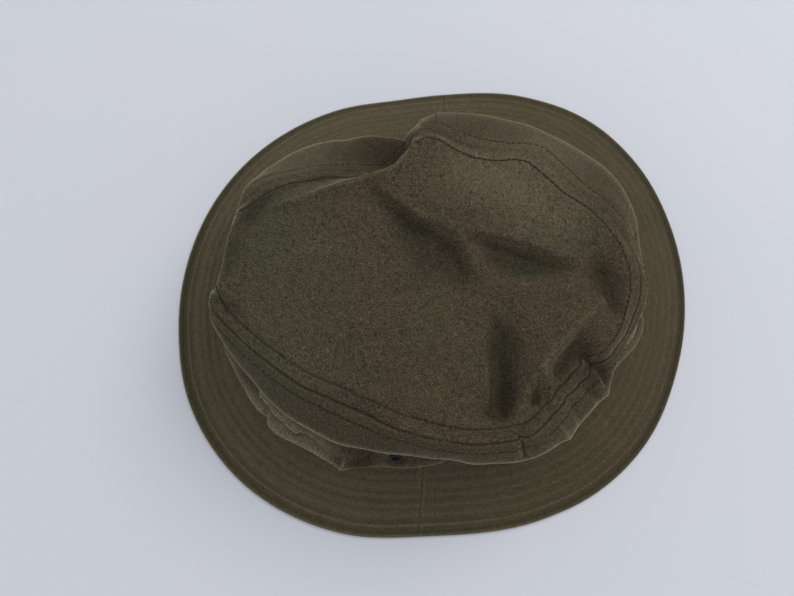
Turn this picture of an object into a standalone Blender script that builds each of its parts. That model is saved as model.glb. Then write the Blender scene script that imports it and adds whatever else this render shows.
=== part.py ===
"""A soft cotton field hat: oval crown, flat-sewn tip, two-ply brim with rows of stitching.

Frame: metres, +Z up, +X towards the front of the hat, +Y to the wearer's left.
The origin is the middle of the hat's footprint on the table that its brim rests on.
The crown is modelled slumped, as a soft crown stands on a table, and not as it is worn.
"""

from math import cos, pi, radians, sin

import bmesh
import bpy
from mathutils import Matrix, Vector

# Cloth, tape and thread.
PLY = 0.0006
TAPE_THICK = 0.0004
THREAD_RADIUS = 0.00028
GAP = 0.00035

# Ovals, as half lengths and half widths. The head oval is a 58 cm head size.
HEAD_A, HEAD_B = 0.099, 0.084
EDGE_A, EDGE_B = 0.1455, 0.1310
HEAD_POWER = 2.0
EDGE_POWER = 2.34
OVAL_STEPS = 60

# Brim: height of the head seam, and how much of the brim's edge lies flat.
BRIM_RISE = 0.0235
BRIM_WIDTH = 0.052
BRIM_FLAT = 0.005
PLY_PITCH = 0.0010
BRIM_SLOPE = radians(30)
BRIM_TOP = 2 * PLY_PITCH + PLY / cos(BRIM_SLOPE)
BRIM_SPANS = 3
SIDE_SEAM_GAP = 0.0004

# Rows of stitching round the brim, measured in from its edge.
STITCH_ROWS = 8
FIRST_ROW = 0.0078
ROW_PITCH = 0.0055

# Crown: heights of the wall's foot and of the tip seam, and how far the wall swells.
WALL_FOOT = BRIM_RISE + BRIM_TOP + GAP
TIP_SEAM = 0.0700
WALL_SWELL = 0.0075
SWELL_POWER = 0.8
TIP_INSET = 0.0035
TIP_RISE = 0.0045
WALL_SPANS = 5
TIP_SPANS = 4
TOPSTITCH_OFFSET = 0.0065
HEAD_TOPSTITCH = 0.004
SIDE_STITCH_MARGIN = 0.0026

# Inside trims.
TAPE_WIDTH = 0.011
BAND_HEIGHT = 0.028
BAND_FOOT = BRIM_RISE - 0.001
BAND_INSET = 0.0012
BAND_STITCH_HEIGHT = 0.002
BAND_END_GAP = 0.001
TAPE_FOOT_LEVEL = 0.03
TAPE_TOP_GAP = 0.0015
LABEL_WIDTH, LABEL_HEIGHT, LABEL_THICK = 0.026, 0.018, 0.0004
LABEL_TOP = BAND_FOOT + 0.023
LABEL_STAND_OFF = 0.0022
LABEL_STITCH_MARGIN = 0.002

# Ventilation eyelets, two on each side of the wall.
EYELET_ANGLE = radians(9)
EYELET_LEVEL = 0.3
EYELET_HOLE, EYELET_BARREL, EYELET_FLANGE = 0.0020, 0.0026, 0.0040
EYELET_ROLL = 0.0005
PUNCH_DEPTH = 0.008
EYELET_STEPS = 12

FRONT, BACK = (-pi / 2, pi / 2), (pi / 2, 3 * pi / 2)
# Each side's name, its angle and the turn that leads from it to the back.
SIDES = (("left", pi / 2, 1), ("right", -pi / 2, -1))

CLOTH = ("olive_cotton", (0.060, 0.052, 0.032), 0.92, 0.0)
LINING = ("stiffener_canvas", (0.30, 0.28, 0.22), 0.95, 0.0)
TAPE = ("olive_tape", (0.075, 0.068, 0.042), 0.85, 0.0)
THREAD = ("olive_thread", (0.030, 0.029, 0.018), 0.70, 0.0)
METAL = ("eyelet_metal", (0.070, 0.074, 0.068), 0.45, 0.7)
LABEL = ("label_tape", (0.55, 0.54, 0.48), 0.80, 0.0)


# ---------------------------------------------------------------- scene and materials


def clear_scene():
    for obj in list(bpy.data.objects):
        bpy.data.objects.remove(obj)


def new_collection(name):
    collection = bpy.data.collections.new(name)
    bpy.context.scene.collection.children.link(collection)
    return collection


def material(look):
    name, colour, roughness, metallic = look
    found = bpy.data.materials.get(name)
    if found:
        return found
    made = bpy.data.materials.new(name)
    made.use_nodes = True
    shader = made.node_tree.nodes["Principled BSDF"]
    shader.inputs["Base Color"].default_value = (*colour, 1.0)
    shader.inputs["Roughness"].default_value = roughness
    shader.inputs["Metallic"].default_value = metallic
    return made


def add_object(name, data, look):
    obj = bpy.data.objects.new(name, data)
    obj.data.materials.append(material(look))
    HAT.objects.link(obj)
    return obj


# ---------------------------------------------------------------- the hat's surfaces


def oval(angle, half_length, half_width, power):
    """A point on a superellipse, by its polar angle."""
    x = abs(cos(angle) / half_length) ** power
    y = abs(sin(angle) / half_width) ** power
    radius = (x + y) ** (-1 / power)
    return Vector((radius * cos(angle), radius * sin(angle), 0))


def outward(angle):
    """The horizontal direction square to the head oval."""
    return Vector((cos(angle) / HEAD_A, sin(angle) / HEAD_B, 0)).normalized()


def smooth(t):
    return t * t * (3 - 2 * t)


def brim_point(angle, share, lift=0.0):
    """The brim's underside, from the head seam at share 0 to the edge at share 1."""
    head = oval(angle, HEAD_A, HEAD_B, HEAD_POWER)
    edge = oval(angle, EDGE_A, EDGE_B, EDGE_POWER)
    sloped = 1 - BRIM_FLAT / BRIM_WIDTH
    height = BRIM_RISE * max(0.0, 1 - share / sloped)
    return head.lerp(edge, share) + Vector((0, 0, height + lift))


def wall_swell(level):
    """How far the wall stands outside the head oval, straight between its rows."""
    row = min(int(level * WALL_SPANS), WALL_SPANS - 1)
    below, above = (
        WALL_SWELL * sin(pi * i / WALL_SPANS) ** SWELL_POWER - TIP_INSET * smooth(i / WALL_SPANS)
        for i in (row, row + 1)
    )
    return below + (above - below) * (level * WALL_SPANS - row)


def wall_point(angle, level, lift=0.0):
    """The wall's inner face, from the head seam at level 0 to the tip seam at level 1."""
    swell = wall_swell(level)
    head = oval(angle, HEAD_A, HEAD_B, HEAD_POWER)
    height = WALL_FOOT + (TIP_SEAM - WALL_FOOT) * level
    return head + outward(angle) * (swell + lift) + Vector((0, 0, height))


def tip_point(angle, share, lift=0.0):
    """The tip's underside, from the seam at share 1 to the middle at share 0."""
    seam = wall_point(angle, 1)
    seam.z = 0
    height = TIP_SEAM + GAP + TIP_RISE * (1 - share**2)
    return seam * share + Vector((0, 0, height + lift))


def wall_facet(angle, level):
    """The middle and the outward normal of the flat facet round this point of the wall."""
    turn = pi / OVAL_STEPS
    climb = 0.5 / WALL_SPANS
    low_a, low_b = (wall_point(angle + t, level - climb) for t in (-turn, turn))
    top_a, top_b = (wall_point(angle + t, level + climb) for t in (-turn, turn))
    along = low_b + top_b - low_a - top_a
    up = top_a + top_b - low_a - low_b
    return (low_a + low_b + top_a + top_b) / 4, along.cross(up).normalized()


def wall_level_at(drop):
    """The level that lies this far below the tip seam along the wall."""
    return 1 - drop / (TIP_SEAM - WALL_FOOT)


# ---------------------------------------------------------------- builders


def evenly(start, end, steps):
    return [start + (end - start) * i / steps for i in range(steps + 1)]


def seam_trimmed(span, radius):
    """A half of the hat, cut back at both side seams so that the halves don't touch."""
    trim = SIDE_SEAM_GAP / 2 / radius
    angles = evenly(*span, OVAL_STEPS // 2)
    angles[0] += trim
    angles[-1] -= trim
    return angles


def sheet(name, rows, look, thickness, closed=False, outside=1):
    """An open surface swept through rows of points, thickened into cloth."""
    mesh = bmesh.new()
    first = [mesh.verts.new(point) for point in rows[0]]
    pairs = list(zip(first, first[1:]))
    if closed:
        pairs.append((first[-1], first[0]))
    edges = [mesh.edges.new(pair) for pair in pairs]
    place = {vert: i for i, vert in enumerate(first)}
    for row in rows[1:]:
        grown = bmesh.ops.extrude_edge_only(mesh, edges=edges)["geom"]
        edges = [item for item in grown if isinstance(item, bmesh.types.BMEdge)]
        new_place = {}
        for vert in (item for item in grown if isinstance(item, bmesh.types.BMVert)):
            old = next(e.other_vert(vert) for e in vert.link_edges if e.other_vert(vert) in place)
            new_place[vert] = place[old]
        for vert, i in new_place.items():
            vert.co = row[i]
        place = new_place
    bmesh.ops.remove_doubles(mesh, verts=mesh.verts, dist=1e-6)
    bmesh.ops.recalc_face_normals(mesh, faces=mesh.faces)
    data = bpy.data.meshes.new(name)
    mesh.to_mesh(data)
    mesh.free()
    obj = add_object(name, data, look)
    solidify = obj.modifiers.new("cloth_thickness", "SOLIDIFY")
    solidify.thickness = thickness
    solidify.offset = outside
    solidify.use_even_offset = True
    return obj


def face_up(obj):
    """Turns the sheet's faces so that they look up."""
    if obj.data.polygons[0].normal.z < 0:
        obj.data.flip_normals()


def face_out(obj):
    """Turns the sheet's faces so that they look away from the hat's middle."""
    face = obj.data.polygons[0]
    if face.normal.dot(Vector((face.center.x, face.center.y, 0))) < 0:
        obj.data.flip_normals()


def thread(name, points, closed=True):
    """One sewing thread laid along a path."""
    curve = bpy.data.curves.new(name, "CURVE")
    curve.dimensions = "3D"
    curve.bevel_depth = THREAD_RADIUS
    curve.bevel_resolution = 0
    curve.use_fill_caps = not closed
    spline = curve.splines.new("POLY")
    spline.points.add(len(points) - 1)
    for knot, point in zip(spline.points, points):
        knot.co = (*point, 1)
    spline.use_cyclic_u = closed
    return add_object(name, curve, THREAD)


def round_angles():
    return evenly(0, 2 * pi, OVAL_STEPS)[:-1]


# ---------------------------------------------------------------- brim


def brim_ply(name, span, lift, look):
    angles = seam_trimmed(span, HEAD_B)
    sloped = 1 - BRIM_FLAT / BRIM_WIDTH
    shares = [sloped * i / BRIM_SPANS for i in range(BRIM_SPANS + 1)] + [1.0]
    rows = [[brim_point(a, share, lift) for a in angles] for share in shares]
    ply = sheet(name, rows, look, PLY)
    face_up(ply)
    return ply


def build_brim():
    for half, span in (("front", FRONT), ("back", BACK)):
        brim_ply(f"brim_lower_{half}", span, 0.0, CLOTH)
        brim_ply(f"brim_stiffener_{half}", span, PLY_PITCH, LINING)
        brim_ply(f"brim_upper_{half}", span, 2 * PLY_PITCH, CLOTH)


def build_brim_rows():
    for row in range(STITCH_ROWS):
        share = 1 - (FIRST_ROW + ROW_PITCH * row) / BRIM_WIDTH
        lift = BRIM_TOP + THREAD_RADIUS + GAP
        path = [brim_point(a, share, lift) for a in round_angles()]
        thread(f"brim_stitch_{row + 1}", path)


# ---------------------------------------------------------------- crown


def wall_half(name, span):
    angles = seam_trimmed(span, HEAD_B)
    levels = [i / WALL_SPANS for i in range(WALL_SPANS + 1)]
    rows = [[wall_point(a, level) for a in angles] for level in levels]
    wall = sheet(name, rows, CLOTH, PLY)
    face_out(wall)
    return wall


def build_crown():
    """The two halves of the wall, by name, and the tip on top of them."""
    walls = {
        "front": wall_half("crown_wall_front", FRONT),
        "back": wall_half("crown_wall_back", BACK),
    }
    shares = [1 - i / TIP_SPANS for i in range(TIP_SPANS + 1)]
    rows = [[tip_point(a, share) for a in round_angles()] for share in shares]
    tip = sheet("crown_tip", rows, CLOTH, PLY, closed=True)
    face_up(tip)
    return walls


def build_crown_stitching():
    clear = PLY + THREAD_RADIUS + GAP
    tip_share = 1 - TOPSTITCH_OFFSET / HEAD_B
    thread("tip_topstitch", [tip_point(a, tip_share, clear) for a in round_angles()])
    below = wall_level_at(TOPSTITCH_OFFSET)
    thread("wall_topstitch", [wall_point(a, below, clear) for a in round_angles()])
    foot = HEAD_TOPSTITCH / (TIP_SEAM - WALL_FOOT)
    thread("head_seam_topstitch", [wall_point(a, foot, clear + GAP) for a in round_angles()])
    margin = SIDE_STITCH_MARGIN / (TIP_SEAM - WALL_FOOT)
    levels = evenly(foot + margin, below - margin, 2 * WALL_SPANS)
    for side, middle, backward in SIDES:
        for part, turn in (("front", -backward), ("back", backward)):
            beside = middle + turn * TAPE_WIDTH / 2 / HEAD_A
            path = [wall_point(beside, level, clear + GAP) for level in levels]
            thread(f"side_seam_topstitch_{side}_{part}", path, closed=False)


def build_tip_tape():
    """The bias tape that covers the tip seam's allowance inside the crown."""
    inset = -(GAP + TAPE_THICK)
    lower = wall_level_at(TAPE_WIDTH / 2)
    inner = 1 - TAPE_WIDTH / 2 / HEAD_B
    rows = [
        [wall_point(a, lower, inset) for a in round_angles()],
        [wall_point(a, 1, 2 * inset) - Vector((0, 0, TAPE_THICK + GAP)) for a in round_angles()],
        [tip_point(a, inner, inset - GAP) for a in round_angles()],
    ]
    tape = sheet("tip_seam_tape", rows, TAPE, TAPE_THICK, closed=True)
    face_out(tape)


def build_side_tapes():
    half = TAPE_WIDTH / 2 / HEAD_A
    top = wall_level_at(TAPE_WIDTH / 2 + TAPE_TOP_GAP)
    rows_between = [i / WALL_SPANS for i in range(1, WALL_SPANS)]
    levels = [TAPE_FOOT_LEVEL, *rows_between, top]
    for side, middle, _ in SIDES:
        columns = evenly(middle - half, middle + half, 2)
        rows = [[wall_point(a, level, -GAP) for a in columns] for level in levels]
        tape = sheet(f"side_seam_tape_{side}", rows, TAPE, TAPE_THICK, outside=-1)
        face_out(tape)


# ---------------------------------------------------------------- sweatband and label


def band_point(angle, height, lift=0.0):
    """The sweatband's inner face, an upright strip just inside the head seam."""
    head = oval(angle, HEAD_A, HEAD_B, HEAD_POWER)
    inset = BAND_INSET + TAPE_THICK
    return head - outward(angle) * (inset - lift) + Vector((0, 0, height))


def build_sweatband():
    ends = BAND_END_GAP / 2 / HEAD_B
    angles = evenly(-pi + ends, pi - ends, OVAL_STEPS)
    heights = [BAND_FOOT, BAND_FOOT + BAND_HEIGHT / 2, BAND_FOOT + BAND_HEIGHT]
    rows = [[band_point(a, height) for a in angles] for height in heights]
    band = sheet("sweatband", rows, TAPE, TAPE_THICK)
    face_out(band)
    clear = -(THREAD_RADIUS + GAP)
    low = BAND_FOOT + BAND_STITCH_HEIGHT
    thread("sweatband_stitch", [band_point(a, low, clear) for a in round_angles()])


def build_label():
    """A blank woven label that hangs from its top edge inside the back of the hat."""
    hang = band_point(pi, LABEL_TOP).x + LABEL_STAND_OFF
    mesh = bmesh.new()
    bmesh.ops.create_cube(mesh, size=1)
    size = Vector((LABEL_THICK, LABEL_WIDTH, LABEL_HEIGHT))
    bmesh.ops.scale(mesh, vec=size, verts=mesh.verts)
    bmesh.ops.translate(mesh, vec=(0, 0, -LABEL_HEIGHT / 2), verts=mesh.verts)
    data = bpy.data.meshes.new("size_label")
    mesh.to_mesh(data)
    mesh.free()
    label = add_object("size_label", data, LABEL)
    label.location = (hang, 0, LABEL_TOP)
    reach = LABEL_WIDTH / 2 - LABEL_STITCH_MARGIN
    above = LABEL_TOP + THREAD_RADIUS + GAP
    thread("label_stitch", [(hang, -reach, above), (hang, reach, above)], closed=False)


# ---------------------------------------------------------------- eyelets


def turned(name, profile, look):
    """A ring turned from a closed profile of (radius, height) points."""
    mesh = bmesh.new()
    verts = [mesh.verts.new((radius, 0, height)) for radius, height in profile]
    for a, b in zip(verts, verts[1:] + verts[:1]):
        mesh.edges.new((a, b))
    data = bpy.data.meshes.new(name)
    mesh.to_mesh(data)
    mesh.free()
    obj = add_object(name, data, look)
    screw = obj.modifiers.new("turn", "SCREW")
    screw.steps = screw.render_steps = EYELET_STEPS
    screw.use_merge_vertices = True
    screw.merge_threshold = 1e-5
    return obj


def eyelet_places():
    """Each eyelet's name, its angle and its seat on the wall."""
    for side, middle, backward in SIDES:
        for part, turn in (("front", -backward), ("back", backward)):
            angle = middle + turn * EYELET_ANGLE
            seat, normal = wall_facet(angle, EYELET_LEVEL)
            turn_to = normal.to_track_quat("Z", "Y").to_matrix().to_4x4()
            yield f"{side}_{part}", Matrix.Translation(seat) @ turn_to


def build_punch(name, radius, seat):
    """The cutter that punches an eyelet's hole."""
    mesh = bmesh.new()
    bmesh.ops.create_cone(
        mesh,
        cap_ends=True,
        segments=EYELET_STEPS,
        radius1=radius,
        radius2=radius,
        depth=PUNCH_DEPTH,
    )
    data = bpy.data.meshes.new(f"punch_{name}")
    mesh.to_mesh(data)
    mesh.free()
    punch = bpy.data.objects.new(f"punch_{name}", data)
    CUTTERS.objects.link(punch)
    punch.matrix_world = seat
    punch.hide_render = True
    punch.display_type = "WIRE"
    return punch


def build_eyelets(walls):
    """Flanged eyelets with their washers, and the holes that they sit in."""
    face, back = PLY + GAP, -GAP
    bore = EYELET_BARREL + GAP
    flange = [
        (EYELET_HOLE, face + EYELET_ROLL),
        (EYELET_FLANGE - EYELET_ROLL, face + EYELET_ROLL),
        (EYELET_FLANGE, face),
        (EYELET_BARREL, face),
        (EYELET_BARREL, back - 2 * EYELET_ROLL),
        (EYELET_HOLE, back - 2 * EYELET_ROLL),
    ]
    washer = [
        (bore, back),
        (EYELET_FLANGE, back),
        (EYELET_FLANGE, back - EYELET_ROLL),
        (bore, back - EYELET_ROLL),
    ]
    for name, seat in eyelet_places():
        turned(f"eyelet_{name}", flange, METAL).matrix_world = seat
        turned(f"eyelet_washer_{name}", washer, METAL).matrix_world = seat
        cut = walls[name.split("_")[1]].modifiers.new(f"hole_{name}", "BOOLEAN")
        cut.operation = "DIFFERENCE"
        cut.object = build_punch(name, bore, seat)


clear_scene()
HAT = new_collection("field_hat")
CUTTERS = new_collection("cutters")
build_brim()
build_brim_rows()
crown_walls = build_crown()
build_crown_stitching()
build_tip_tape()
build_side_tapes()
build_sweatband()
build_label()
build_eyelets(crown_walls)
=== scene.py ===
"""The looks of a slumped olive cotton field hat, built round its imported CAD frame.

Lengths are in millimetres until a mesh is made, and angles are counted from the front. The crown
and the brim are surfaces over a grid of (row, angle). The crown is sculpted with folds, relaxed as
cloth and then finished with seams, puckers and stitches. The brim is quilted by a formula.
"""

import math

import bpy
import numpy as np
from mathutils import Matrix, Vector


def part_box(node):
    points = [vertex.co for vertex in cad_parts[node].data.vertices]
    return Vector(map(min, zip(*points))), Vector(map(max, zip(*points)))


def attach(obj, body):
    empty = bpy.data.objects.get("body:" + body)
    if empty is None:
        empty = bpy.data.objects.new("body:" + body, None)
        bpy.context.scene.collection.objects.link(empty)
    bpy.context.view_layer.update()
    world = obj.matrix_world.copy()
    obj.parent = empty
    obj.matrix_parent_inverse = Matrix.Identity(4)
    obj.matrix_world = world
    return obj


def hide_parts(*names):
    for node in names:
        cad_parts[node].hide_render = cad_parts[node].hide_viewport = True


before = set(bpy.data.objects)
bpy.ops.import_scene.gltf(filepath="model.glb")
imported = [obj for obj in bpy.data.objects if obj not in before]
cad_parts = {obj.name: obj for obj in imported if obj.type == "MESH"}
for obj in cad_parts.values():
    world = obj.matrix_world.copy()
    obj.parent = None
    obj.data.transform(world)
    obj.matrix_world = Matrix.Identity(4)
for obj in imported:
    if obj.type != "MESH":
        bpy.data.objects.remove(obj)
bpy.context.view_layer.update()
MM = 0.001


def corners(node):
    """A CAD node's lowest and highest corners, in millimetres."""
    low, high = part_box(node)
    return np.array(low) / MM, np.array(high) / MM


# ---- places from the frame

HEAD_HALF = corners("sweatband")[1][:2] + 1.2
HEAD_SEAM = corners("brim_lower_front")[1][2] - 0.6
BRIM_THICK = corners("brim_upper_front")[1][2] - corners("brim_lower_front")[1][2] + 0.6
WALL_FOOT = corners("crown_wall_front")[0][2]
BRIM_WIDTH = 52.0
BAND_LOW, BAND_HIGH = corners("sweatband")[0][2], corners("sweatband")[1][2]
EYELETS = [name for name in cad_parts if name.startswith("eyelet_") and "washer" not in name]

# ---- driving values

# The brim's edge: degrees from the front, and its reach from the hat's middle.
BRIM_EDGE = {
    0: 144.5, 20: 147.6, 38: 149.9, 52: 148.7, 70: 140.6, 90: 129.9, 103: 127.4, 120: 132.0,
    150: 139.8, 180: 143.9, 193: 145.3, 207: 147.4, 225: 146.0, 252: 137.4, 272: 129.4,
    300: 133.9, 313: 138.1, 330: 141.7, 345: 142.5,
}
ROWS = 8
FIRST_ROW = 7.8
ROW_PITCH = 5.5

# The crown's sections, by degrees from the front. Each has the radius and height of the tip's
# topstitch, of the tip seam, of the wall's widest swell, and of the wall's low fold over the brim.
SECTIONS = {
    0: ((90, 68), (96.3, 63), (103, 51), (105, 38)),
    10: ((87.3, 68), (93.5, 64), (104, 50), (103, 36)),
    22: ((79.3, 69), (86.5, 65), (106, 50), (100, 34)),
    34: ((70, 70), (78, 67), (105, 50), (96.5, 34)),
    46: ((69, 70), (75.5, 68), (99.8, 50), (92.5, 34)),
    55: ((68.2, 70), (74.7, 68), (96.8, 50), (90, 34)),
    64: ((61, 70), (68, 68), (94.5, 50), (88, 34)),
    74: ((58, 70), (64.5, 68), (92.2, 50), (88, 35)),
    84: ((59.3, 70), (66, 67), (90.7, 50), (88, 36)),
    93: ((64, 71), (70, 67), (88.5, 51), (87, 36)),
    98: ((65, 71), (71, 67), (85.5, 52), (86, 36)),
    103: ((63.5, 72.5), (68.5, 68), (80, 52), (84, 36)),
    109: ((61.5, 66), (65, 56), (78.8, 50), (82, 36)),
    118: ((56.5, 60), (59.5, 53), (84, 50), (84, 35)),
    131: ((60, 63), (65, 59), (92.5, 49), (89, 34)),
    146: ((74, 64), (81.5, 60), (103, 48), (98, 34)),
    160: ((93.5, 63), (99.8, 59), (108.5, 49), (103, 34)),
    169: ((103, 60), (106.5, 53), (107, 46), (103, 34)),
    183: ((106.3, 56), (107.5, 50), (107.5, 44), (104, 34)),
    192: ((103.8, 63), (109.5, 59), (112.3, 50), (110, 34)),
    205: ((90, 68), (98.8, 65), (107.8, 50), (113, 33)),
    215: ((83.3, 69), (91, 67), (103.4, 50), (112, 32)),
    225: ((78, 69), (85.2, 67), (100.8, 50), (112, 32)),
    237: ((72.6, 69), (80, 67), (96.2, 50), (106.5, 32)),
    248: ((70.3, 69), (78, 67), (92.6, 50), (104, 32)),
    255: ((70.3, 68), (78.2, 67), (90.6, 50), (98.5, 32)),
    263: ((71, 68), (79, 67), (89.2, 50), (95, 32)),
    276: ((73, 68), (81.8, 66), (90.3, 50), (90.8, 33)),
    288: ((78, 67), (85.2, 65), (94.6, 49), (90, 34)),
    302: ((80.8, 67), (88.8, 63), (99.5, 49), (93, 34)),
    313: ((78.5, 66), (86, 61), (99.8, 49), (95, 36)),
    328: ((80, 66), (86.5, 61), (99, 50), (98, 39)),
    338: ((87, 67), (91, 61), (96.5, 54), (100, 40)),
    348: ((90, 67), (94.5, 62), (99, 55), (106, 40)),
}

# The tip's relief: lines of (x, y, height), each a ridge or the floor of a valley.
TIP_LINES = {
    "roll_left": (
        (-99, 25, 64.5), (-102.5, 14, 65.5), (-104.5, 4, 66), (-105.6, -5, 66.5), (-104.8, -14, 67),
        (-99, -24.5, 68),
    ),
    "fold_back_left": ((-79, 24, 68.5), (-66, 28, 72), (-50, 35, 74.5), (-36, 41, 76)),
    "fold_back": ((-36, 41, 76), (-25, 46.5, 76), (-21, 53, 74.5), (-17, 61, 72.5)),
    "valley_from_fold": (
        (-35, 34, 69), (-23.5, 26.5, 64.5), (-13, 19, 62.8), (-3.5, 14.5, 62.8), (5.5, 8.5, 62.6),
    ),
    "valley_end": ((5.5, 8.5, 62.6), (10.5, -1, 63.5), (14.5, -9.5, 66.5)),
    "valley_floor": ((-24, 25, 65.5), (-15.5, 17, 63.5), (-5.5, 11.5, 63), (4, 4, 63.3)),
    "brow_of_valley": (
        (-34, 37.5, 74), (-26, 33.5, 72), (-19, 29.5, 71), (-10.5, 23.5, 70.3), (0, 20.5, 69.8),
    ),
    "brow_of_spur": ((0, 20.5, 69.8), (8.5, 18, 69.4)),
    "spur_between_valleys": ((8.5, 18, 69.4), (12.5, 10.5, 68.5), (17, 2, 68.5), (22, -9, 69)),
    "valley_to_front": ((13, 15, 66), (28, 11.5, 63.6), (44, 7.5, 63.3), (55, 3.5, 64), (64, 4, 66.5)),
    "floor_to_front": ((23, 6, 65), (32, 2.5, 64), (44, 0.5, 63.8), (54, -0.5, 65.5)),
    "brow_to_front": ((18, 18.5, 69.8), (29, 16.5, 70), (45.5, 13.5, 69.8), (57, 9.5, 69.2), (64, 9, 69)),
    "spine_to_front": ((29, -6.5, 68.2), (40, -7, 68.6), (52, -6, 68.9), (64, -4, 69)),
    "shoulder_back": ((2, 42, 71.3), (25, 38, 71.2), (50, 30, 70.8)),
    "groove_to_seam": ((27, -19, 67), (29.5, -31, 62.5), (30.5, -45, 59), (31, -58, 57), (31, -65, 57.5)),
    "groove_bank": ((21, -20, 68.5), (21.5, -32, 67.8), (23, -44, 67.2), (25, -55, 66.3), (26.5, -63, 65)),
    "spine_to_seam": ((76, -12, 69), (62, -29, 71), (56, -36, 71), (49.5, -46, 71)),
    "spine_left_branch": ((49.5, -46, 71), (42.5, -57, 69.5), (36.5, -69, 66)),
    "spine_right_branch": ((49.5, -46, 71), (53.5, -52, 68), (54.5, -60, 65.5)),
    "hollow_between_branches": ((47.5, -53, 65.5), (47, -61, 62)),
    "drop_beside_spine": ((67.5, -28, 65), (60.5, -38, 63.5), (55.5, -46, 63)),
    "pocket_front_right": ((68, -34, 65), (72, -43, 60.5)),
    "valley_front": ((73, 15, 67), (76, 3, 63), (80, -10, 63), (83, -16, 65)),
    "dome_back": ((-80, -8, 70), (-62, 2, 72), (-40, 4, 71)),
    "dome_right": ((-60, -30, 70.5), (-30, -30, 71.5), (-5, -40, 71)),
    "dome_middle": ((2, -24, 69.5), (6, -40, 69.5)),
}

# The lines that are creased to an edge, and how far the edge stands up.
SHARP_LINES = {
    "fold_back_left": 1.5,
    "fold_back": 1.5,
    "spine_to_seam": 1.6,
    "spine_right_branch": 1.2,
}

# Soft dents in the tip: (x, y, depth, radius).
TIP_DENTS = ((-20, -14, 1.6, 12), (-38, -48, 1.4, 9), (40, 45, 1.0, 10), (-12, 52, 0.8, 6))

# Patches of the crown, (x, y, z, radius, strength): painted shade with dirt below zero, in hollows,
# pockets and under folds, and painted light with fading above zero, on faces that the light falls on.
SOIL_SHADE_AND_LIGHT_PATCHES = (
    (-34, 66, 54, 17, -0.85),
    (-56, 40.5, 67, 9, -0.75),
    (-94, 24, 66, 8, -0.35),
    (-48, 60, 58, 9, -0.35),
    (38, 42, 70, 26, 0.40),
    (64, 22, 69, 16, 0.24),
    (12, 52, 70, 18, 0.26),
    (29, -61, 58, 7, -0.35),
    (75, -44, 60, 7, -0.95),
    (78.5, -47, 57, 8, -0.7),
    (-31, -95, 34, 5, -1.8),
    (-10, -94, 36, 8, -0.45),
    (-100, -50, 38, 9, 0.40),
    (-88, -68, 38, 10, 0.75),
    (-72, -80, 38, 11, 0.90),
    (-55, -90, 36, 11, 0.85),
    (-66, 64, 58, 20, 0.35),
    (-88, 50, 54, 18, 0.30),
    (60, 75, 52, 32, 0.32),
    (95, -28, 48, 12, 0.40),
    (66, -76, 50, 12, 0.25),
)

# Places where the dye has turned green: (x, y, z, radius, strength).
GREEN_PATCHES = (
    (-88, 10, 68, 40, 0.75),
    (-75, -35, 68, 34, 0.6),
    (-72, 62, 56, 30, 0.8),
    (-75, -62, 50, 30, 0.5),
    (-12, 20, 64, 13, 0.3),
    (42, 8, 64, 16, 0.6),
    (27, -42, 62, 15, 0.7),
    (-4, -30, 70, 14, 0.3),
    (72, 20, 67, 14, 0.5),
    (60, -70, 52, 16, 0.6),
)

# Creases in the wall: ends as (angle, level below the tip seam from 0 to 1), height, half width.
WALL_CREASES = (
    ((311, 0.10), (312, 0.42), 1.5, 3.0),
    ((318, 0.02), (317, 0.30), -1.3, 2.0),
    ((328, 0.14), (328, 0.45), 1.7, 3.2),
    ((324, 0.04), (325, 0.30), -1.2, 2.0),
    ((331, -0.02), (330, 0.22), -3.4, 3.0),
    ((298, 0.00), (298, 0.24), -1.3, 1.3),
    ((345, 0.15), (14, 0.13), 0.7, 1.2),
    ((347, 0.27), (15, 0.23), -1.8, 1.8),
    ((339, 0.25), (352, 0.45), 1.2, 1.4),
    ((348, 0.48), (346, 0.56), -3.0, 2.6),
    ((352, 0.42), (5, 0.52), 1.4, 1.4),
    ((354, 0.50), (8, 0.60), -1.4, 1.6),
    ((108, 0.05), (106, 0.90), -3.0, 2.6),
    ((98, 0.15), (104, 0.60), 0.8, 2.6),
    ((118, 0.12), (126, 0.30), -2.0, 5.0),
    ((127, 0.12), (143, 0.12), -2.8, 3.5),
    ((198, 0.56), (232, 0.64), 3.0, 1.5),
    ((202, 0.63), (232, 0.71), -2.8, 1.6),
    ((218, 0.60), (252, 0.66), 2.4, 1.4),
    ((221, 0.66), (246, 0.73), -1.8, 1.5),
    ((219, 0.68), (223, 0.76), -3.2, 2.4),
    ((206, 0.78), (240, 0.86), -1.6, 1.8),
    ((247, 0.70), (247, 0.84), 1.8, 2.2),
    ((251, 0.62), (253, 0.66), -3.0, 2.6),
    ((262, 0.64), (282, 0.66), -1.6, 1.6),
    ((150, 0.30), (166, 0.62), 0.9, 3.0),
)

# The tip's rows run in to this point.
TIP_MIDDLE = (-6.0, -3.0)

# Distances from each seam to its topstitch, and the stitches themselves.
TIP_TO_STITCH = 7.6
WALL_TO_STITCH = 6.4
HEAD_TO_STITCH = 5.2
SIDE_TO_STITCH = 5.5
STITCH_PITCH = 2.9
STITCH_LENGTH = 2.45
THREAD_RADIUS = 0.24

# Thickness of one ply of the crown, of the brim, of the tapes and of the sweatband.
CROWN_PLY = 0.7
BRIM_PLY = 0.4
TAPE_PLY = 0.35
BAND_PLY = 0.4

# Grid steps: round the hat, and in the densely and the loosely spaced rows.
AROUND = 960
SEAM_ROWS, WALL_ROWS, TIP_ROWS, BRIM_ROWS = 30, 54, 60, 112

# Mean radii, by which an angle becomes a length along the crown, the brim or the sweatband.
CROWN_MEAN, BRIM_MEAN, BAND_MEAN = 95, 138, 92

# The grid that the tip's relief is stretched over: its cell, and its reach from the middle.
CELL = 1.25
REACH = 124

# The wall: its length along the cloth, the length of one degree round it, and its widest level.
WALL_LENGTH = 52.0
CREASE_GIRTH = 1.65
SWELL_LEVEL = 0.36

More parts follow.
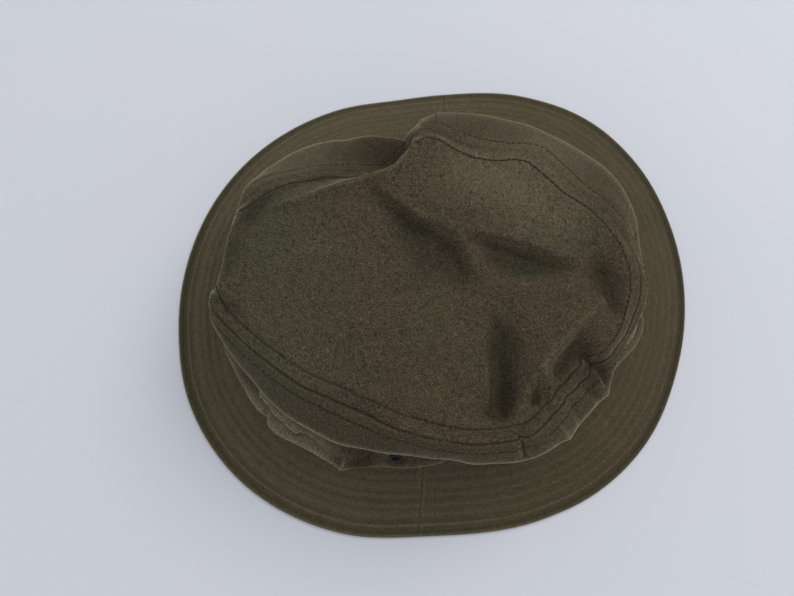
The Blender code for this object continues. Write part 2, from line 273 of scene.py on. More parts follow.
# How far the wall's foot is tucked in and down at the head seam, where the sweatband hides it.
FOOT_IN, FOOT_DOWN = 0.8, 2.0

# The tapes' half width, and how far behind the crown's outer face they lie.
TAPE_HALF = 5.5
TAPE_DEPTH = 1.7

# An eyelet's flat seat and the fade round it, its hole, how far it has dropped, how it leans.
SEAT_FLAT, SEAT_FADE = 4.6, 3.0
HOLE_RADIUS = 2.5
EYELET_DROP = 2.2
EYELET_LEAN = 0.45

# The cloth relaxation: its coarse grid, frames, slack, least hold and greatest movement.
RELAXED_AROUND, RELAXED_STEP = 240, 4
RELAX_FRAMES = 18
RELAX_LOOSE = 0.026
RELAX_HOLD = 0.2
RELAX_CAP = 2.0

CAMERA_AIM = Vector((-20, -1, 0)) * MM
CAMERA_DISTANCE = 375 * MM
CAMERA_ELEVATION = math.radians(76.5)
CAMERA_AZIMUTH = math.radians(4)
CAMERA_LENS = 29.5

# How the twill's wales are turned, the green that dye fades to, and the dark colour of dirt and painted
# shade.
WALE_TURN = math.radians(52)
GREEN_DYE = (0.052, 0.050, 0.028)
SOIL_AND_SHADE = (0.019, 0.018, 0.011)

# ---- numbers and noise


def ring(points, angles):
    """A smooth closed curve through {degrees: value}, read at these angles in radians."""
    knots = np.radians(np.array(sorted(points), float))
    values = np.array([points[key] for key in sorted(points)], float)
    turn = 2 * np.pi
    span = np.roll(knots, -1) - knots
    span[-1] += turn
    before = np.roll(span, 1)
    slope = ((np.roll(values, -1, 0) - values).T / span).T
    tangent = ((np.roll(slope, 1, 0).T * span + slope.T * before) / (span + before)).T
    at = np.mod(np.asarray(angles, float), turn)
    i = np.searchsorted(knots, at, side="right") - 1
    i = np.where(i < 0, len(knots) - 1, i)
    j = (i + 1) % len(knots)
    t = np.mod(at - knots[i], turn) / span[i]
    weights = hermite(t)
    parts = (values[i].T, tangent[i].T * span[i], values[j].T, tangent[j].T * span[i])
    return sum(part * weight for part, weight in zip(parts, weights)).T


def hermite(t):
    """Weights of start, start slope, end and end slope at t."""
    return 2 * t**3 - 3 * t**2 + 1, t**3 - 2 * t**2 + t, 3 * t**2 - 2 * t**3, t**3 - t**2


def smooth(t):
    """An S curve from 0 to 1, flat at both ends."""
    t = np.clip(t, 0, 1)
    return t * t * (3 - 2 * t)


def bump(distance, half_width, power=2.0):
    """1 at no distance, falling to 0 past the half width."""
    return np.exp(-((np.abs(distance) / half_width) ** power))


def noise(x, y, scale, seed, around=None):
    """Smooth value noise from -1 to 1. With a length around, x wraps after it."""
    table = np.random.default_rng(seed).uniform(-1, 1, (256, 256))
    wrap = 256
    if around:
        wrap = max(1, round(around / scale))
        scale_x = around / wrap
    else:
        scale_x = scale
    u, v = np.asarray(x) / scale_x, np.asarray(y) / scale
    i, j = np.floor(u).astype(int), np.floor(v).astype(int)
    fu, fv = smooth(u - i), smooth(v - j)
    i0, i1, j0, j1 = i % wrap, (i + 1) % wrap, j % 256, (j + 1) % 256
    low = table[i0, j0] * (1 - fu) + table[i1, j0] * fu
    high = table[i0, j1] * (1 - fu) + table[i1, j1] * fu
    return low * (1 - fv) + high * fv


def line_distance(x, y, start, end):
    """Distance from points to a straight line."""
    dx, dy = end[0] - start[0], end[1] - start[1]
    along = np.clip(((x - start[0]) * dx + (y - start[1]) * dy) / (dx * dx + dy * dy), 0, 1)
    return np.hypot(x - start[0] - along * dx, y - start[1] - along * dy)


def head_oval(angles):
    """Radius of the head opening."""
    a, b = HEAD_HALF
    return 1 / np.sqrt((np.cos(angles) / a) ** 2 + (np.sin(angles) / b) ** 2)


def polar(angles, radius, height):
    """Points from angles, radii and heights."""
    height = np.broadcast_to(height, radius.shape)
    return np.stack([radius * np.cos(angles), radius * np.sin(angles), height], -1)


def hat_angles(count):
    """Angles all round from the right side seam, closer together at both side seams."""
    u = np.arange(count // 2) / (count // 2)
    half = np.pi * (u - 0.45 * np.sin(2 * np.pi * u) / (2 * np.pi))
    return np.concatenate([half, half + np.pi]) - np.pi / 2


# ---- grid surfaces


def normals(points, closed=True):
    """Outward unit normals of a grid of points."""
    if closed:
        around = np.roll(points, -1, 1) - np.roll(points, 1, 1)
    else:
        around = np.gradient(points, axis=1)
    square = np.cross(around, np.gradient(points, axis=0))
    return square / np.maximum(np.linalg.norm(square, axis=-1, keepdims=True), 1e-9)


def distance_along(points, zero_row):
    """Signed distance along each column from one row; later rows are positive."""
    steps = np.linalg.norm(np.diff(points, axis=0), axis=-1)
    length = np.concatenate([np.zeros((1, points.shape[1])), np.cumsum(steps, 0)])
    return length - length[zero_row]


def girth(points, row):
    """Distance round the hat along one row, and the whole length of that row."""
    line = points[row]
    steps = np.linalg.norm(np.roll(line, -1, 0) - line, axis=1)
    return np.concatenate([[0], np.cumsum(steps)[:-1]]), steps.sum()


def row_at(points, distance, target):
    """The line that lies at one distance on every column."""
    columns = range(points.shape[1])
    return np.array(
        [[np.interp(target, distance[:, c], points[:, c, k]) for k in range(3)] for c in columns]
    )


def roundness(points):
    """How sharply the surface stands out: above zero on ridges and below zero in hollows."""
    rows = np.arange(len(points))
    around = np.roll(points, -1, 1), np.roll(points, 1, 1)
    across = points[np.minimum(rows + 1, rows[-1])], points[np.maximum(rows - 1, 0)]
    normal = normals(points)
    total = 0
    for a, b in (around, across):
        la = np.maximum(np.linalg.norm(a - points, axis=-1, keepdims=True), 1e-6)
        lb = np.maximum(np.linalg.norm(b - points, axis=-1, keepdims=True), 1e-6)
        bend = ((a - points) / la + (b - points) / lb) / (la + lb) * 2
        total = total - (bend * normal).sum(-1)
    return total


# ---- the tip's relief


class Relief:
    """Heights over a square grid, stretched between lines of known height like a tight skin."""

    def __init__(self):
        count = int(2 * REACH / CELL) + 1
        self.height = np.full((count, count), 68.0)
        self.fixed = np.zeros((count, count), bool)

    def cells(self, x, y):
        """Places as fractional cell numbers."""
        return (np.asarray(x) + REACH) / CELL, (np.asarray(y) + REACH) / CELL

    def pin(self, line):
        """Fixes the heights under a line."""
        for (x0, y0, z0), (x1, y1, z1) in zip(line, line[1:]):
            steps = int(math.hypot(x1 - x0, y1 - y0) / (CELL / 2)) + 1
            t = np.linspace(0, 1, steps + 1)
            i, j = self.cells(x0 + (x1 - x0) * t, y0 + (y1 - y0) * t)
            i, j = np.rint(i).astype(int), np.rint(j).astype(int)
            self.height[i, j] = z0 + (z1 - z0) * t
            self.fixed[i, j] = True

    def around(self):
        """The mean of each inner height's four neighbours."""
        h = self.height
        return (h[:-2, 1:-1] + h[2:, 1:-1] + h[1:-1, :-2] + h[1:-1, 2:]) / 4

    def stretch(self, rounds):
        """Evens out the heights that aren't fixed."""
        held = self.height.copy()
        for _ in range(rounds):
            self.height[1:-1, 1:-1] = self.around()
            self.height[self.fixed] = held[self.fixed]

    def soften(self, rounds):
        """Rounds off everything, the fixed heights too."""
        for _ in range(rounds):
            self.height[1:-1, 1:-1] = (self.height[1:-1, 1:-1] + self.around()) / 2

    def at(self, x, y):
        """Cubic reading, so that the grid's cells don't show."""
        u, v = self.cells(x, y)
        i, j = np.floor(u).astype(int), np.floor(v).astype(int)
        top = self.height.shape[0] - 1
        total = 0
        for di, wi in zip((-1, 0, 1, 2), b_spline(u - i)):
            for dj, wj in zip((-1, 0, 1, 2), b_spline(v - j)):
                total = total + wi * wj * self.height[np.clip(i + di, 0, top), np.clip(j + dj, 0, top)]
        return total


def b_spline(t):
    """Weights of four neighbouring values, between the middle two."""
    return (1 - t) ** 3 / 6, (3 * t**3 - 6 * t**2 + 4) / 6, (3 * (t - t**3 + t**2) + 1) / 6, t**3 / 6


def sections(angles):
    """The four section points at each angle, as arrays (angle, point, (radius, height))."""
    flat = {key: np.array(value, float).ravel() for key, value in SECTIONS.items()}
    return ring(flat, angles).reshape(len(angles), 4, 2)


def build_relief():
    """The tip's heights, stretched between its outline and the lines of TIP_LINES."""
    relief = Relief()
    angles = np.linspace(0, 2 * np.pi, 181)
    shape = sections(angles)
    for line in (0, 1):
        relief.pin([tuple(point) for point in polar(angles, shape[:, line, 0], shape[:, line, 1])])
    for line in TIP_LINES.values():
        relief.pin(line)
    relief.stretch(2400)
    relief.soften(3)
    return relief


def tip_height(relief, x, y):
    """The relief with its creased edges, dents and unevenness."""
    height = relief.at(x, y)
    for name, edge in SHARP_LINES.items():
        line = TIP_LINES[name]
        away = np.min([line_distance(x, y, a, b) for a, b in zip(line, line[1:])], axis=0)
        height = height + edge * bump(away, 1.4, 1.0)
    for dent_x, dent_y, depth, radius in TIP_DENTS:
        height = height - depth * np.exp(-((x - dent_x) ** 2 + (y - dent_y) ** 2) / radius**2)
    height = height + 0.35 * noise(x, y, 17, 11)
    return height + 0.18 * noise(x + 40, y - 9, 7.5, 12)


# ---- the crown's surface


def wall_profile(angles, levels):
    """Radius and height of the wall, from the tip seam at level 0 to the head seam at level 1."""
    shape = sections(angles)
    foot = np.stack([head_oval(angles) - FOOT_IN, np.full_like(angles, WALL_FOOT - FOOT_DOWN)], -1)
    seam, swell, fold = shape[:, 1], shape[:, 2], shape[:, 3]
    tuck = np.stack([np.minimum(swell[:, 0], fold[:, 0]) - 2.5, (swell[:, 1] + fold[:, 1]) / 2], -1)
    knots = np.stack([seam, swell, tuck, fold, foot], 1)
    spread = np.array([0, SWELL_LEVEL, 0.58, 0.78, 1.0])
    lean = np.zeros_like(knots)
    lean[:, 1:-1] = (knots[:, 2:] - knots[:, :-2]) / (spread[2:] - spread[:-2])[None, :, None]
    lean[:, 0] = (swell - seam) / spread[1] * (1.5, 0.7)
    lean[:, 1, 0] = 0
    lean[:, -1] = (foot - fold) / (1 - spread[-2])
    out = np.zeros((len(levels), len(angles), 2))
    for row, level in enumerate(levels):
        i = min(int(np.searchsorted(spread, level, side="right")) - 1, 3)
        span = spread[i + 1] - spread[i]
        parts = (knots[:, i], lean[:, i] * span, knots[:, i + 1], lean[:, i + 1] * span)
        out[row] = sum(p * w for p, w in zip(parts, hermite((level - spread[i]) / span)))
    return out


def crease_push(angles, levels):
    """How far the creases push the wall out, over (level, angle)."""
    turn, level = np.meshgrid(np.degrees(angles), levels)
    push = np.zeros_like(turn)
    for (turn_a, level_a), (turn_b, level_b), height, half in WALL_CREASES:
        turn_b = turn_a + (turn_b - turn_a + 180) % 360 - 180
        middle = (turn_a + turn_b) / 2
        x = ((turn - middle + 180) % 360 - 180) * CREASE_GIRTH
        start = (turn_a - middle) * CREASE_GIRTH, level_a * WALL_LENGTH
        end = (turn_b - middle) * CREASE_GIRTH, level_b * WALL_LENGTH
        push += height * bump(line_distance(x, level * WALL_LENGTH, start, end), half, 1.4)
    return push * smooth((1 - levels) / 0.12)[:, None]


def crown_rows():
    """Levels down the wall, dense at the tip seam, and the tip's rows in to its middle."""
    near = np.linspace(0, 0.2, SEAM_ROWS, endpoint=False)
    levels = np.concatenate([near, np.linspace(0.2, 1, WALL_ROWS)])
    near = np.linspace(0, 0.14, SEAM_ROWS, endpoint=False)
    inward = np.concatenate([near, np.linspace(0.14, 1, TIP_ROWS)])
    return levels, inward[1:]


def build_crown_grid():
    """Positions over (row, angle): from the wall's foot up, then across the tip to its middle."""
    angles = hat_angles(AROUND)
    levels, inward = crown_rows()
    wall = wall_profile(angles, levels)
    wall[..., 0] += crease_push(angles, levels)
    arc, depth = np.meshgrid(np.mod(angles, 2 * np.pi) * CROWN_MEAN, levels * WALL_LENGTH)
    whole = 2 * np.pi * CROWN_MEAN
    wall[..., 0] += 0.5 * noise(arc, depth, 13, 5, whole) * smooth(levels / 0.2)[:, None]
    wall = polar(angles[None, :], wall[..., 0], wall[..., 1])
    relief = build_relief()
    seam, inward = wall[0], inward[:, None]
    x = seam[None, :, 0] + (TIP_MIDDLE[0] - seam[None, :, 0]) * inward
    y = seam[None, :, 1] + (TIP_MIDDLE[1] - seam[None, :, 1]) * inward
    step = seam[:, 2] - tip_height(relief, seam[:, 0], seam[:, 1])
    height = tip_height(relief, x, y) + step[None, :] * (1 - inward) ** 14
    tip = np.stack([x, y, height], -1)
    tip[-1] = tip[-1].mean(0)
    return np.concatenate([wall[::-1], tip]), len(levels) - 1


def seat_eyelets(points, seam_row):
    """Flattens the wall at each eyelet. Gives the points, and each eyelet's seat and outward way."""
    up = normals(points)
    seats = {}
    for name in EYELETS:
        middle = sum(corners(name)) / 2
        wall = points[:seam_row]
        aside = np.arctan2(wall[..., 1], wall[..., 0]) - math.atan2(middle[1], middle[0])
        chord = 180 * np.sin(aside / 2)
        near = np.hypot(chord, wall[..., 2] - middle[2] + EYELET_DROP)
        row, column = np.unravel_index(np.argmin(near), near.shape)
        seat = points[row, column].copy()
        away = np.linalg.norm(wall - seat, axis=-1)
        outward = up[:seam_row][away < SEAT_FLAT].mean(0) * (1, 1, EYELET_LEAN)
        outward /= np.linalg.norm(outward)
        depth = ((wall - seat) * outward).sum(-1)
        hold = 1 - smooth((away - SEAT_FLAT) / SEAT_FADE)
        points[:seam_row] -= outward * (depth * hold)[..., None]
        seats[name] = seat, outward
    return points, seats


# ---- cloth relaxation


def relaxed(points):
    """Lets a coarse copy of the crown buckle as slightly loose cloth, and returns the movement."""
    rows = list(range(0, len(points) - 1, RELAXED_STEP)) + [len(points) - 2]
    stride = AROUND // RELAXED_AROUND
    coarse = points[rows][:, ::stride]
    sheet = raw_grid("crown_relaxing", coarse, True)
    group = sheet.vertex_groups.new(name="held")
    height = np.array(rows)[:, None] * np.ones(coarse.shape[1])
    hold = RELAX_HOLD + (1 - RELAX_HOLD) * (1 - smooth(height / 10))
    for index, weight in enumerate(hold.ravel()):
        group.add([index], float(weight), "REPLACE")
    cloth = sheet.modifiers.new("buckle", "CLOTH")
    settings = cloth.settings
    settings.quality = 8
    settings.mass = 0.25
    settings.air_damping = 8
    settings.tension_stiffness = settings.compression_stiffness = 60
    settings.shear_stiffness = 30
    settings.bending_stiffness = 0.7
    settings.shrink_min = -RELAX_LOOSE
    settings.vertex_group_mass = "held"
    settings.pin_stiffness = 1.0
    settings.effector_weights.gravity = 0
    cloth.collision_settings.use_self_collision = False
    cloth.collision_settings.use_collision = False
    cloth.point_cache.frame_start = 1
    cloth.point_cache.frame_end = RELAX_FRAMES
    scene = bpy.context.scene
    for step in range(1, RELAX_FRAMES + 1):
        scene.frame_set(step)
    done = sheet.evaluated_get(bpy.context.evaluated_depsgraph_get()).to_mesh()
    moved = np.empty(coarse.size)
    done.vertices.foreach_get("co", moved)
    moved = moved.reshape(coarse.shape) / MM - coarse
    scene.frame_set(1)
    bpy.data.objects.remove(sheet)
    length = np.linalg.norm(moved, axis=-1, keepdims=True)
    moved *= np.minimum(1, RELAX_CAP / np.maximum(length, 1e-6))
    moved = blurred(moved, 3) * smooth((from_middle(coarse) - 34) / 26)[..., None]
    return spread_grid(moved, rows, len(points), stride)


def from_middle(points):
    """Distance in plan from the point that the tip's rows run to."""
    return np.hypot(points[..., 0] - TIP_MIDDLE[0], points[..., 1] - TIP_MIDDLE[1])


def blurred(field, rounds):
    """A closed grid field, averaged with its neighbours again and again."""
    for _ in range(rounds):
        field = (2 * field + np.roll(field, 1, 1) + np.roll(field, -1, 1)) / 4
        inner = (2 * field[1:-1] + field[2:] + field[:-2]) / 4
        field = np.concatenate([field[:1], inner, field[-1:]])
    return field


def spread_grid(values, rows, count, stride):
    """A coarse field over the grid, read back smoothly at every fine row and column."""
    columns = values.shape[1]
    u = np.arange(columns * stride) / stride
    i = np.floor(u).astype(int)
    t = (u - i)[None, :, None]
    wide = sum(
        weight * values[:, (i + shift) % columns] for shift, weight in zip((-1, 0, 1, 2), b_spline(t))
    )
    at = np.interp(np.arange(count), rows, np.arange(len(rows)))
    j = np.floor(at).astype(int)
    t = (at - j)[:, None, None]
    top = len(rows) - 1
    return sum(
        weight * wide[np.clip(j + shift, 0, top)] for shift, weight in zip((-1, 0, 1, 2), b_spline(t))
    )


# ---- meshes


def grid_faces(rows, columns, closed, start=0):
    """Four-sided faces over a grid of point numbers."""
    index = start + np.arange(rows * columns).reshape(rows, columns)
    left = index if closed else index[:, :-1]
    right = np.roll(index, -1, 1) if closed else index[:, 1:]
    return np.stack([left[:-1], right[:-1], right[1:], left[1:]], -1).reshape(-1, 4)


def add_mesh(name, vertices, faces):
    """A smooth mesh object in the scene, from millimetres."""
    data = bpy.data.meshes.new(name)
    data.from_pydata((np.asarray(vertices) * MM).tolist(), [], np.asarray(faces).tolist())
    data.polygons.foreach_set("use_smooth", [True] * len(data.polygons))
    data.update()
    obj = bpy.data.objects.new(name, data)
    bpy.context.scene.collection.objects.link(obj)
    return obj


def raw_grid(name, points, closed):
    """A mesh over a grid of points, with nothing behind it."""
    faces = grid_faces(*points.shape[:2], closed)
    return add_mesh(name, points.reshape(-1, 3), faces)


class Sheet:
    """A grid of points, with the fields that its material reads at every point."""

    def __init__(self, points, closed=False, weave=None, wear_and_painted_light=None, green=None):
        blank = np.zeros(points.shape[:2])
        self.points = points
        self.closed = closed
        self.weave = points if weave is None else weave
        self.wear_and_painted_light = blank if wear_and_painted_light is None else wear_and_painted_light
        self.green = blank if green is None else green

    def part(self, rows, columns=None):
        """Some of the rows, and with columns given only those, as an open sheet."""
        fields = [self.points, self.weave, self.wear_and_painted_light, self.green]
        fields = [field[rows] for field in fields]
        if columns is not None:
            fields = [field[:, columns] for field in fields]
        points, weave, wear_and_painted_light, green = fields
        return Sheet(points, self.closed and columns is None, weave, wear_and_painted_light, green)


def cloth_mesh(name, sheet, material, thickness, coarse=3, holes=()):
    """One ply: its outer face as given, and a coarser inner face behind it."""
    rows, columns = sheet.points.shape[:2]
    keep_rows = sorted({*range(0, rows, coarse), rows - 1})
    keep_columns = {*range(0, columns, coarse)}
    if not sheet.closed:
        keep_columns.add(columns - 1)
    keep_columns = sorted(keep_columns)

    def inner(field):
        return field[keep_rows][:, keep_columns][::-1]

    def both(field, behind):
        tail = field.shape[2:]
        return np.concatenate([field.reshape(-1, *tail), inner(behind).reshape(-1, *tail)])

    vertices = both(sheet.points, sheet.points - normals(sheet.points, sheet.closed) * thickness)
    outside = grid_faces(rows, columns, sheet.closed)
    inside = grid_faces(len(keep_rows), len(keep_columns), sheet.closed, rows * columns)
    faces = np.concatenate([outside, inside])
    middles = vertices[faces].mean(1)
    for hole in holes:
        clear = np.linalg.norm(middles - hole, axis=1) > HOLE_RADIUS
        faces, middles = faces[clear], middles[clear]
    obj = add_mesh(name, vertices, faces)
    obj.data.attributes.new("weave", "FLOAT_VECTOR", "POINT")
    obj.data.attributes["weave"].data.foreach_set("vector", both(sheet.weave, sheet.weave).ravel())
    for key, field in (("wear_and_painted_light", sheet.wear_and_painted_light), ("green", sheet.green)):
        obj.data.attributes.new(key, "FLOAT", "POINT")
        obj.data.attributes[key].data.foreach_set("value", both(field, field).ravel())
    obj.data.materials.append(material)
    return obj


def turned(name, profile, seat, outward, material):
    """A small ring: a closed profile of (radius, height) turned round an axis on the wall."""
    side = np.cross(outward, (0, 0, 1.0))
    side /= np.linalg.norm(side)
    rise = np.cross(side, outward)
    turn = np.linspace(0, 2 * np.pi, 40, endpoint=False)
    spoke = side * np.cos(turn)[:, None] + rise * np.sin(turn)[:, None]
    loop = [*profile, profile[0]]
    points = [seat + spoke * radius + outward * height for radius, height in loop]
    obj = raw_grid(name, np.array(points), True)
    obj.data.materials.append(material)
    return obj


def stand_for(obj, slot, *nodes, body="hat"):
    """Puts a piece on a body, in place of its CAD nodes."""
    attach(obj, body)
    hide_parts(*nodes)
    return obj


def stitch_mesh(name, path, up, material, seed, closed=True, pitch=STITCH_PITCH):
    """A row of separate stitches along a path, each dipping into the cloth at both ends."""
    if closed:
        path, up = np.concatenate([path, path[:1]]), np.concatenate([up, up[:1]])
    length = np.concatenate([[0], np.cumsum(np.linalg.norm(np.diff(path, axis=0), axis=1))])
    count = int(length[-1] / pitch)
    random = np.random.default_rng(seed)
    middles = (np.arange(count) + 0.5 + random.uniform(-0.05, 0.05, count)) * length[-1] / count
    # Rings of points along one stitch: their place, their height and their thickness.
    share = np.array([-0.5, -0.36, 0, 0.36, 0.5])
    lift = np.array([-0.30, 0.04, 0.16, 0.04, -0.30])
    swell = np.array([0.4, 0.85, 1.0, 0.85, 0.4])
    at = middles[:, None] + share * STITCH_LENGTH
    centre = np.stack([np.interp(at, length, path[:, k]) for k in range(3)], -1)
    normal = np.stack([np.interp(at, length, up[:, k]) for k in range(3)], -1)
    normal /= np.linalg.norm(normal, axis=-1, keepdims=True)
    along = np.gradient(centre, axis=1)
    along /= np.linalg.norm(along, axis=-1, keepdims=True)
    side = np.cross(normal, along)
    centre = centre + normal * lift[:, None]
    sides = 6
    turn = np.linspace(0, 2 * np.pi, sides, endpoint=False)
    spoke = side[:, :, None] * np.cos(turn)[:, None] + normal[:, :, None] * np.sin(turn)[:, None]
    radius = THREAD_RADIUS * swell[None, :, None, None] * random.uniform(0.9, 1.1, (count, 1, 1, 1))
    tubes = centre[:, :, None] + spoke * radius
    one = grid_faces(len(share), sides, True)
    first = len(share) * sides * np.arange(count)[:, None, None]
    faces = (one[None] + first).reshape(-1, 4)
    obj = add_mesh(name, tubes.reshape(-1, 3), faces)
    obj.data.materials.append(material)
    return obj


# ---- seams and puckers


def sewn(points, seam_row):
    """The crown with its tip seam, side seams, stitch lines and puckers pressed into it."""
    from_seam = distance_along(points, seam_row)
    from_foot = distance_along(points, 0)
    along, whole = girth(points, seam_row)
    along = np.broadcast_to(along, from_seam.shape)
    tip_side, wall_side = from_seam > 0, from_seam <= 0
    reach = np.where(tip_side, TIP_TO_STITCH, WALL_TO_STITCH)
    doubled = 1 - smooth((np.abs(from_seam) - reach + 0.2) / 0.9)
    push = 0.30 * doubled - (0.15 + 0.95 * near_side(points)) * bump(from_seam, 0.75)
    pulse = 1 - 0.45 * np.cos(2 * np.pi * along / STITCH_PITCH)
    push -= 0.42 * pulse * bump(np.abs(from_seam) - reach, 0.6)
    wave = noise(along, from_seam / 4 + 60, 5.5, 21, whole)
    wave = wave + 0.5 * noise(along, from_seam / 3 + 90, 2.9, 22, whole)
    push += 0.36 * wave * bump(from_seam - 0.5, 9.0, 3.0)
    push -= 0.22 * pulse * bump(from_foot - HEAD_TO_STITCH, 0.7) * wall_side
    ripple = noise(along, from_foot / 2, 4.0, 23, whole) * bump(from_foot - 2, 5.0)
    push += 0.30 * ripple * wall_side
    push += side_seams(points, wall_side)
    push += np.where(tip_side, 0.16 * noise(points[..., 0], points[..., 1], 6.0, 24), 0.0)
    push *= smooth(from_middle(points) / 4)
    return points + normals(points) * push[..., None]


def near_side(points):
    """1 along the right-hand side of the hat, nearest the camera, where the seam's groove is deepened and
    its painted shade is darkest, 0 on the left.
    """
    return smooth(0.5 - points[..., 1] / 60)


def side_seams(points, where):
    """The wall's two side seams: a groove with the doubled cloth of its allowance beside it."""
    beside = np.abs(points[..., 0])
    near = (np.abs(points[..., 1]) > 40) & where
    return near * (0.12 * (1 - smooth((beside - SIDE_TO_STITCH) / 1.6)) - 0.20 * bump(beside, 0.7))


def wear_highlight_and_shade_of(points, gain):
    """Rubbed ridges with painted highlights as values above zero, and painted shade in hollows as values
    below zero.
    """
    sharp = blurred(np.clip(roundness(points), -1, 1), 2)
    sharp = np.clip(sharp * smooth(np.abs(sharp) / 0.16) * gain, -1, 0.6)
    return sharp * smooth(from_middle(points) / 24 - 0.25)


def swell_wear_and_highlight(count, levels):
    """The pale line along the wall's widest swell, partly rubbed and partly a painted highlight where the
    wall turns from view, over every row of the crown.
    """
    line = bump(levels[::-1] - SWELL_LEVEL, 0.06)
    return 1.2 * np.concatenate([line, np.zeros(count - len(levels))])[:, None]


def patched(field, points, patches):
    """A field over the grid with soft round patches added to it."""
    for *middle, reach, strength in patches:
        field = field + strength * bump(np.linalg.norm(points - middle, axis=-1), reach)
    return field


def tone_of(points, seam_row):
    """Painted shade in the tip's valleys and painted light on its heights, the patches' painted shade,
    dirt, painted light and fading, and a dark seam and dark stitch lines.
    """
    inside = smooth((np.arange(len(points)) - seam_row) / 24)[:, None]
    height = points[..., 2]
    # Painted shade below the valleys' rims, and painted light on the heights.
    valley_shade = 0.46 * smooth((66.8 - height) / 2.6)
    tone = (np.clip((height - 69.5) / 15, -0.4, 0.15) - valley_shade) * inside
    tone = patched(tone, points, SOIL_SHADE_AND_LIGHT_PATCHES)
    from_seam = distance_along(points, seam_row)
    reach = np.where(from_seam > 0, TIP_TO_STITCH, WALL_TO_STITCH)
    near = near_side(points)
    # Dark seam and stitch lines, mostly painted shade, darkest on the right-hand side.
    seam = 1.1 * bump(from_seam, 0.9) * (0.1 + 0.9 * near)
    stitches = 0.9 * bump(np.abs(from_seam) - reach, 0.6) * (0.35 + 0.65 * near)
    return tone - seam - stitches


def green_of(points):
    """How green the dye is, from 0 to 1."""
    green = 0.25 * noise(points[..., 0], points[..., 1], 26, 13)
    return np.clip(patched(green, points, GREEN_PATCHES), 0, 1)


# ---- the crown's pieces


def halves(closed_ring):
    """Columns of the front half and of the back half, both with the two side seam columns."""
    middle = closed_ring // 2
    return {"front": [*range(middle + 1)], "back": [*range(middle, closed_ring), 0]}


def build_crown(cloth, thread, olive_thread):
    """The tip, the two wall halves and their stitching."""
    points, seam_row = build_crown_grid()
    points = points + relaxed(points)
    points, seats = seat_eyelets(points, seam_row)
    beside_seam = bump(distance_along(points, seam_row), 3.5)
    inside = smooth((np.arange(len(points)) - seam_row) / 20)[:, None]
    # One field pales and darkens the cloth: rubbing and painted highlights on ridges and the swell,
    # painted shade and dirt in hollows, and painted light and fading on the patches.
    wear_and_painted_light = wear_highlight_and_shade_of(points, 1.5) * (1 - beside_seam) * (1 - 0.45 * inside)
    wear_and_painted_light = wear_and_painted_light + swell_wear_and_highlight(len(points), crown_rows()[0])
    points = sewn(points, seam_row)
    wear_and_painted_light = np.clip(wear_and_painted_light + wear_highlight_and_shade_of(points, 0.5) * (1 - inside) + tone_of(points, seam_row), -1, 1.3)
    green = green_of(points)
    from_seam = distance_along(points, seam_row)
    along, _ = girth(points, seam_row)
    wall_weave = np.stack([along + 0 * from_seam, from_seam, 0 * from_seam], -1)
    whole_tip = Sheet(points, True, points, wear_and_painted_light, green).part(slice(seam_row, None))
    stand_for(cloth_mesh("crown_tip_cloth", whole_tip, cloth, CROWN_PLY), "cotton", "crown_tip")
    whole_wall = Sheet(points, True, wall_weave, wear_and_painted_light, green).part(slice(0, seam_row + 1))
    holes = [seat for seat, _ in seats.values()]
    for half, columns in halves(AROUND).items():
        wall = whole_wall.part(slice(None), columns)
        if half == "back":
            wall.weave[:, -1, 0] = 2 * wall.weave[:, -2, 0] - wall.weave[:, -3, 0]
        piece = cloth_mesh(f"crown_wall_cloth_{half}", wall, cloth, CROWN_PLY, holes=holes)
        stand_for(piece, "cotton", f"crown_wall_{half}")
    build_crown_stitches(points, seam_row, thread, olive_thread)
    return points, seam_row, seats


def build_eyelets(seats, paint):
    """A rolled flange on the wall's outer face, and its washer on the inner face."""
    flange = (
        (1.9, -1.5), (1.9, 0.4), (2.2, 0.75), (2.8, 0.8), (3.3, 0.6), (3.5, 0.1), (2.9, 0.05), (2.3, -0.3),
    )
    washer = ((2.0, -1.1), (3.6, -1.0), (3.6, -1.3), (2.9, -1.7), (2.0, -1.5))
    for name, (seat, outward) in seats.items():
        stand_for(turned(f"{name}_flange", flange, seat, outward, paint), "metal", name)
        node = name.replace("eyelet", "eyelet_washer")
        stand_for(turned(f"{node}_ring", washer, seat, outward, paint), "metal", node)


def build_crown_stitches(points, seam_row, thread, olive_thread):
    """Topstitching beside the tip seam, the head seam and both side seams."""
    up = normals(points)
    from_seam = distance_along(points, seam_row)
    from_foot = distance_along(points, 0)
    rows = (
        ("tip_topstitch", from_seam, TIP_TO_STITCH, 31),
        ("wall_topstitch", from_seam, -WALL_TO_STITCH, 32),
        ("head_seam_topstitch", from_foot, HEAD_TO_STITCH, 33),
    )
    for node, distance, target, seed in rows:
        path, normal = row_at(points, distance, target), row_at(up, distance, target)
        piece = stitch_mesh(f"{node}es", path, normal, thread, seed)
        stand_for(piece, "thread", node)
    free = (from_foot > HEAD_TO_STITCH + 3) & (from_seam <= -WALL_TO_STITCH - 3)
    for side, sign in (("left", 1), ("right", -1)):
        for part, turn in (("front", 1), ("back", -1)):
            path, normal = beside_side_seam(points * (turn, sign, 1), points, up, free[:seam_row])
            node = f"side_seam_topstitch_{side}_{part}"
            name = node.replace("stitch", "stitches")
            piece = stitch_mesh(name, path, normal, olive_thread, 34, closed=False)
            stand_for(piece, "thread", node)


def beside_side_seam(mirrored, points, up, free):
    """Points and normals up the wall's free rows, beside the seam that is mirrored to the left front."""
    path, normal = [], []
    for row in range(len(free)):
        x, y = mirrored[row, :, 0], mirrored[row, :, 1]
        column = int(np.argmin(np.abs(x - SIDE_TO_STITCH) + 1000 * (y < 30)))
        if free[row, column]:
            path.append(points[row, column])
            normal.append(up[row, column])
    return np.array(path), np.array(normal)


# ---- inside trims


